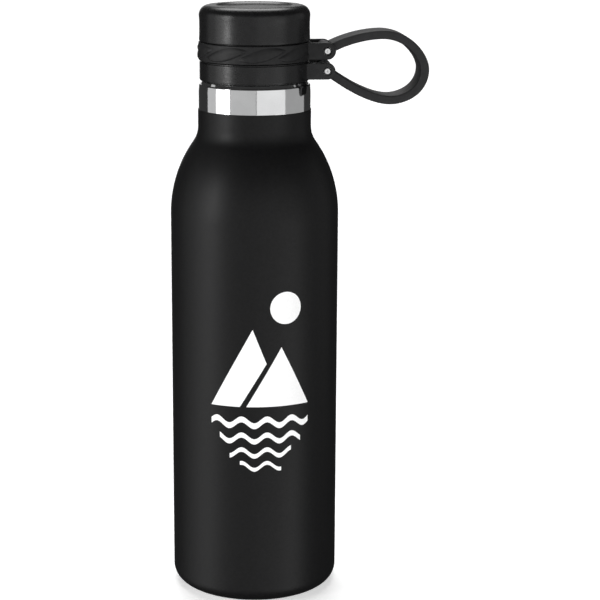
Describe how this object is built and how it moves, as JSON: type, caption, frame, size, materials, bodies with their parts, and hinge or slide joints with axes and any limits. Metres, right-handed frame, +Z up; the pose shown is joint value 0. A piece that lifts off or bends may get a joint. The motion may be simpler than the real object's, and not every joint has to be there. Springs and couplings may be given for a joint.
{
  "type": "insulated water bottle",
  "caption": "Slim double-walled steel water bottle with a shouldered neck, polished collar, screw lid and a carry loop pinned between two swivel rings.",
  "frame": {"origin": "centre of the flat base, on the surface the bottle stands on", "axes": "+Z up along the bottle's axis; +X towards the carry loop; the XZ plane is the loop's middle plane"},
  "size_m": [0.111, 0.073, 0.2576],
  "materials": {
    "powder_coat": "fine-grained matte black powder coat",
    "polished_steel": "mirror-polished stainless steel",
    "brushed_steel": "satin stainless steel",
    "copper_foil": "plain copper foil",
    "solder_glass": "fused solder glass",
    "getter_metal": "sintered grey metal",
    "satin_plastic": "satin black moulded plastic",
    "soft_plastic": "matte soft-touch black plastic with a shallow wave relief",
    "strap_rubber": "matte charcoal silicone rubber",
    "liner_plastic": "moulded dark polypropylene",
    "foam": "closed-cell foam",
    "seal_rubber": "translucent grey silicone"
  },
  "bodies": {
    "bottle": {"outer_shell": "powder_coat", "threaded_neck": "polished_steel", "inner_liner": "brushed_steel", "liner_bottom": "brushed_steel", "copper_wrap": "copper_foil", "outer_base": "brushed_steel", "base_cover": "brushed_steel", "seal_bead": "solder_glass", "getter_clip": "brushed_steel", "getter": "getter_metal"},
    "lower_swivel": {"lower_ring": "satin_plastic", "lower_pin": "polished_steel", "lower_bush": "brushed_steel", "strap": "strap_rubber"},
    "upper_swivel": {"upper_ring": "soft_plastic", "upper_pin": "polished_steel", "upper_bush": "brushed_steel"},
    "lid_carrier": {"ring_clip": "brushed_steel"},
    "lid": {"cap_shell": "satin_plastic", "cap_liner": "liner_plastic", "seal_ring": "seal_rubber", "insulation_puck": "foam"}
  },
  "joints": [
    {"name": "ring_swivel", "type": "hinge", "parent": "bottle", "child": "lower_swivel", "pos_m": [0, 0, 0.2297], "axis": [0, 0, 1], "continuous": true},
    {"name": "ring_lift", "type": "slide", "parent": "lower_swivel", "child": "upper_swivel", "axis": [0, 0, 1], "range_m": [0, 0.012], "deforming": ["strap"]},
    {"name": "lid_lift", "type": "slide", "parent": "bottle", "child": "lid_carrier", "axis": [0, 0, 1], "range_m": [0, 0.012]},
    {"name": "lid_turn", "type": "hinge", "parent": "lid_carrier", "child": "lid", "pos_m": [0, 0, 0.242], "axis": [0, 0, 1], "range_deg": [0, 1080]}
  ],
  "couplings": [
    {"joint": "lid_lift", "follows": "lid_turn", "m_per_rad": 0.0006366},
    {"joint": "ring_lift", "follows": "lid_turn", "m_per_rad": 0.0006366}
  ]
}
